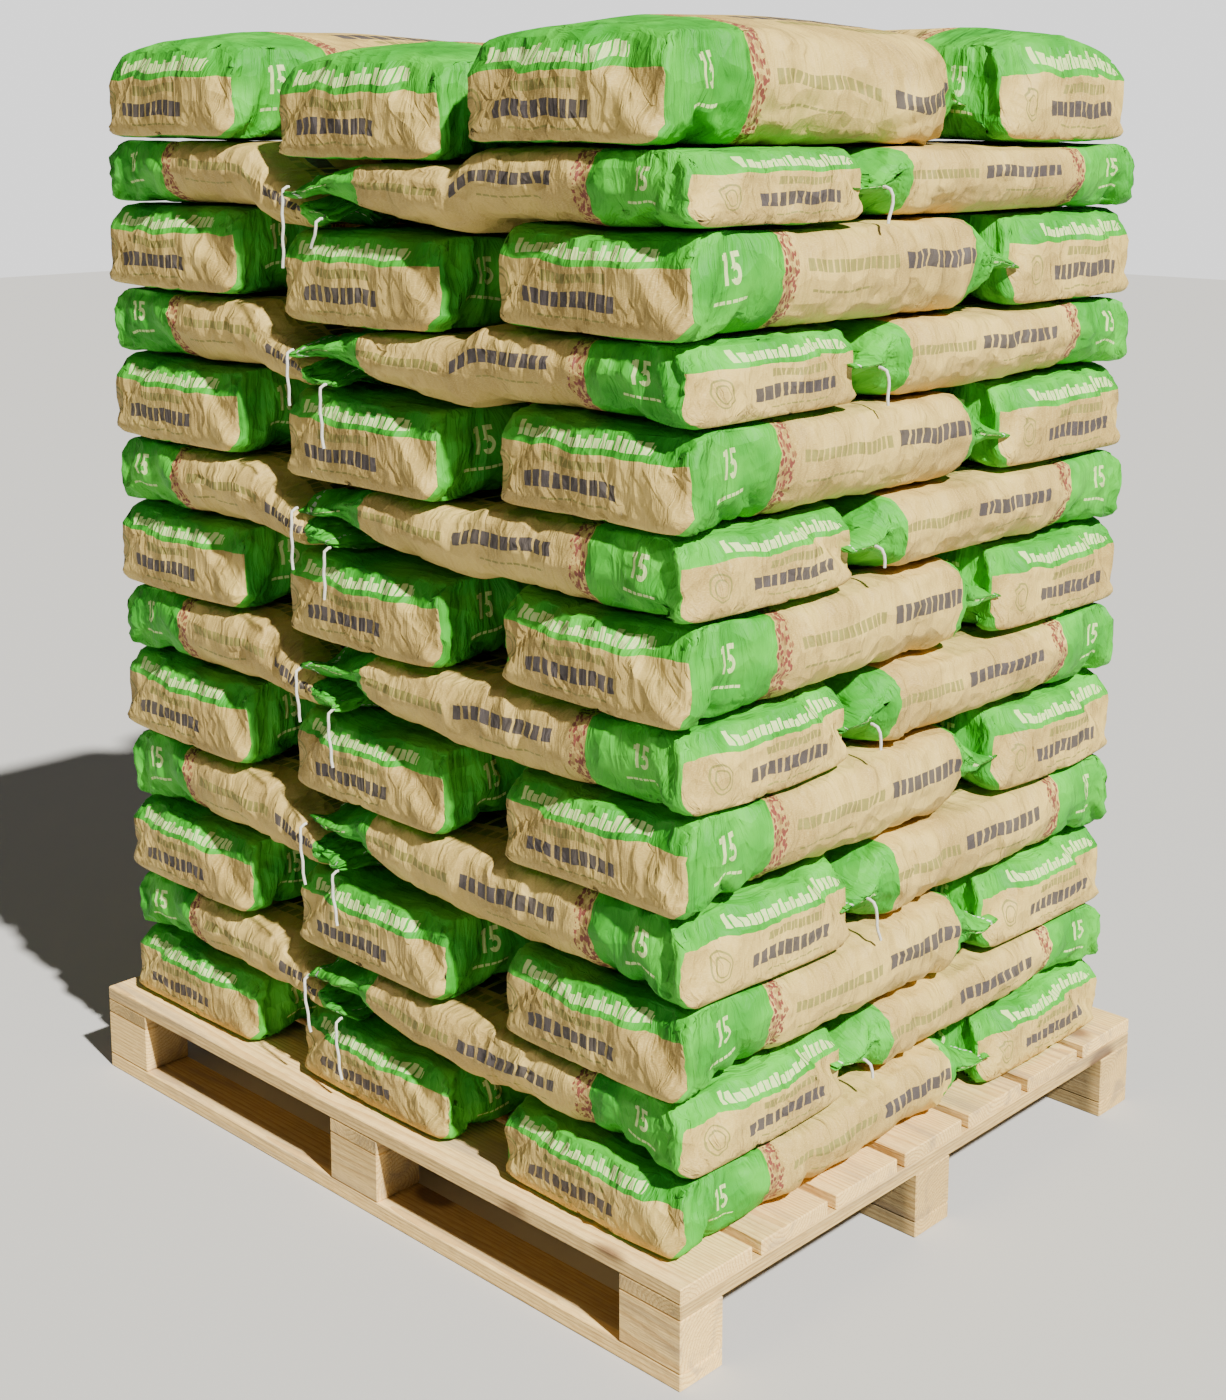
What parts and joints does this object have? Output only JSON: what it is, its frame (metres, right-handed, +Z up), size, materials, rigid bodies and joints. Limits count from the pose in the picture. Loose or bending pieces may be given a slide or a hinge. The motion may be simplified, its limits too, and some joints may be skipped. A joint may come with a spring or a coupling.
{
  "type": "pallet of sacks",
  "caption": "Full pallet load of paper sacks, laid in crossing layers with flat bottom ends outward, on a timber block pallet.",
  "frame": {"origin": "middle of the pallet's footprint, on the ground", "axes": "+Z up, +X along the pallet's long side, +Y along its short side; the bottom layer's three crosswise sacks show their flat ends on the -Y side"},
  "size_m": [1.2, 1, 1.5768],
  "materials": {
    "pine": "rough sawn softwood",
    "kraft_paper": "matt kraft paper, printed green at both ends",
    "closing_thread": "undyed cotton"
  },
  "bodies": {
    "root": {"bottom_board_front": "pine", "bottom_board_middle": "pine", "bottom_board_back": "pine", "block_front_left": "pine", "block_front_centre": "pine", "block_front_right": "pine", "block_middle_left": "pine", "block_middle_centre": "pine", "block_middle_right": "pine", "block_back_left": "pine", "block_back_centre": "pine", "block_back_right": "pine", "cross_board_left": "pine", "cross_board_centre": "pine", "cross_board_right": "pine", "deck_board_1": "pine", "deck_board_2": "pine", "deck_board_3": "pine", "deck_board_4": "pine", "deck_board_5": "pine", "deck_board_6": "pine", "deck_board_7": "pine", "sack_layer_01": "kraft_paper", "sack_layer_02": "kraft_paper", "sack_layer_03": "kraft_paper", "sack_layer_04": "kraft_paper", "sack_layer_05": "kraft_paper", "sack_layer_06": "kraft_paper", "sack_layer_07": "kraft_paper", "sack_layer_08": "kraft_paper", "sack_layer_09": "kraft_paper", "sack_layer_10": "kraft_paper", "sack_layer_11": "kraft_paper", "sack_layer_12": "kraft_paper", "sack_layer_13": "kraft_paper", "thread_tail_02_upper": "closing_thread", "thread_tail_02_tucked": "closing_thread", "thread_tail_02_side": "closing_thread", "thread_tail_04_upper": "closing_thread", "thread_tail_04_tucked": "closing_thread", "thread_tail_04_side": "closing_thread", "thread_tail_06_upper": "closing_thread", "thread_tail_06_tucked": "closing_thread", "thread_tail_06_side": "closing_thread", "thread_tail_08_upper": "closing_thread", "thread_tail_08_tucked": "closing_thread", "thread_tail_08_side": "closing_thread", "thread_tail_10_upper": "closing_thread", "thread_tail_10_tucked": "closing_thread", "thread_tail_10_side": "closing_thread", "thread_tail_12_upper": "closing_thread", "thread_tail_12_tucked": "closing_thread", "thread_tail_12_side": "closing_thread"}
  },
  "joints": []
}
